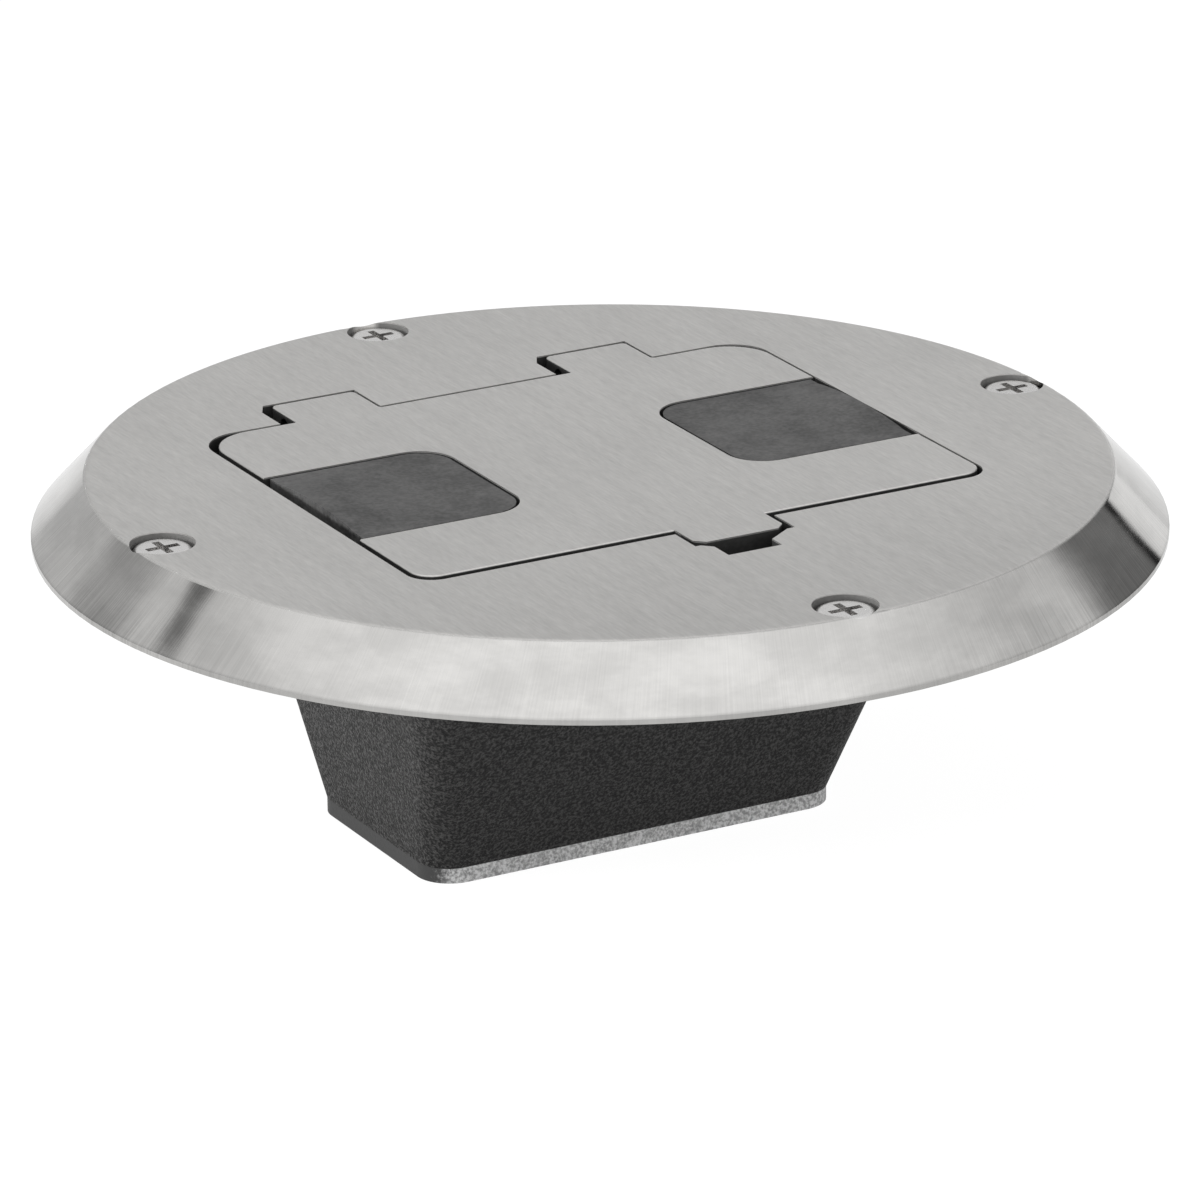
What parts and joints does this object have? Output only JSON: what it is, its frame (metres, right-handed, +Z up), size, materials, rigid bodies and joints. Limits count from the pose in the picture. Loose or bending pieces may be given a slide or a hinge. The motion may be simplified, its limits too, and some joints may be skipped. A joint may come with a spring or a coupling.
{
  "type": "floor socket box",
  "caption": "Round floor socket box: hinged lid with two cord flaps in a flanged cover, over a tapered cast housing with a duplex receptacle.",
  "frame": {"origin": "centre of the cover's underside, on the finished floor plane, amid the four cover screws", "axes": "+X along the lid to the right, +Y towards the lid's hinge, +Z up out of the floor"},
  "size_m": [0.184, 0.184, 0.0631],
  "materials": {
    "cover_metal": "satin nickel plate over a cast ring, polished bevel",
    "lid_metal": "fine straight brushing, satin nickel plate",
    "gasket_rubber": "plain black rubber",
    "seal_rubber": "plain black rubber",
    "cover_screw_steel": "bright nickel plate",
    "flap_plastic": "charcoal, matte",
    "pin_steel": "ground steel",
    "housing_iron": "coarse black paint on a sand-cast shell",
    "base_steel": "grained grey steel",
    "zinc_steel": "zinc plate",
    "plate_steel": "galvanised sheet",
    "green_screw": "green finish that marks an earth terminal",
    "receptacle_plastic": "black moulded plastic",
    "receptacle_case": "black moulded plastic",
    "strap_steel": "zinc plated steel",
    "contact_brass": "bright rolled brass",
    "brass_screw": "brass"
  },
  "bodies": {
    "box": {"cover_flange": "cover_metal", "floor_gasket": "gasket_rubber", "lid_seal": "seal_rubber", "cover_screws": "cover_screw_steel", "housing": "housing_iron", "base_plate": "base_steel", "foot_screws": "zinc_steel", "housing_screws": "zinc_steel", "device_plate": "plate_steel", "plate_screws": "zinc_steel", "centre_screw": "zinc_steel", "bonding_screw": "green_screw", "receptacle_face": "receptacle_plastic", "receptacle_body": "receptacle_case", "receptacle_strap": "strap_steel", "case_screws": "zinc_steel", "line_contacts": "contact_brass", "neutral_contacts": "contact_brass", "ground_contacts": "contact_brass", "line_screws": "brass_screw", "neutral_screws": "zinc_steel", "ground_screw": "green_screw"},
    "lid": {"cover_lid": "lid_metal", "left_hinge_pin": "pin_steel", "right_hinge_pin": "pin_steel", "left_flap_pin": "pin_steel", "right_flap_pin": "pin_steel"},
    "left_cord_flap": {"left_flap": "flap_plastic"},
    "right_cord_flap": {"right_flap": "flap_plastic"}
  },
  "joints": [
    {"name": "lid_hinge", "type": "hinge", "parent": "box", "child": "lid", "pos_m": [0, 0.047, 0.0081], "axis": [-1, 0, 0], "range_deg": [0, 110]},
    {"name": "left_flap_hinge", "type": "hinge", "parent": "lid", "child": "left_cord_flap", "pos_m": [-0.0267, 0.0029, 0.0079], "axis": [0, 1, 0], "range_deg": [0, 100]},
    {"name": "right_flap_hinge", "type": "hinge", "parent": "lid", "child": "right_cord_flap", "pos_m": [0.0267, 0.0029, 0.0079], "axis": [0, -1, 0], "range_deg": [0, 100]}
  ]
}
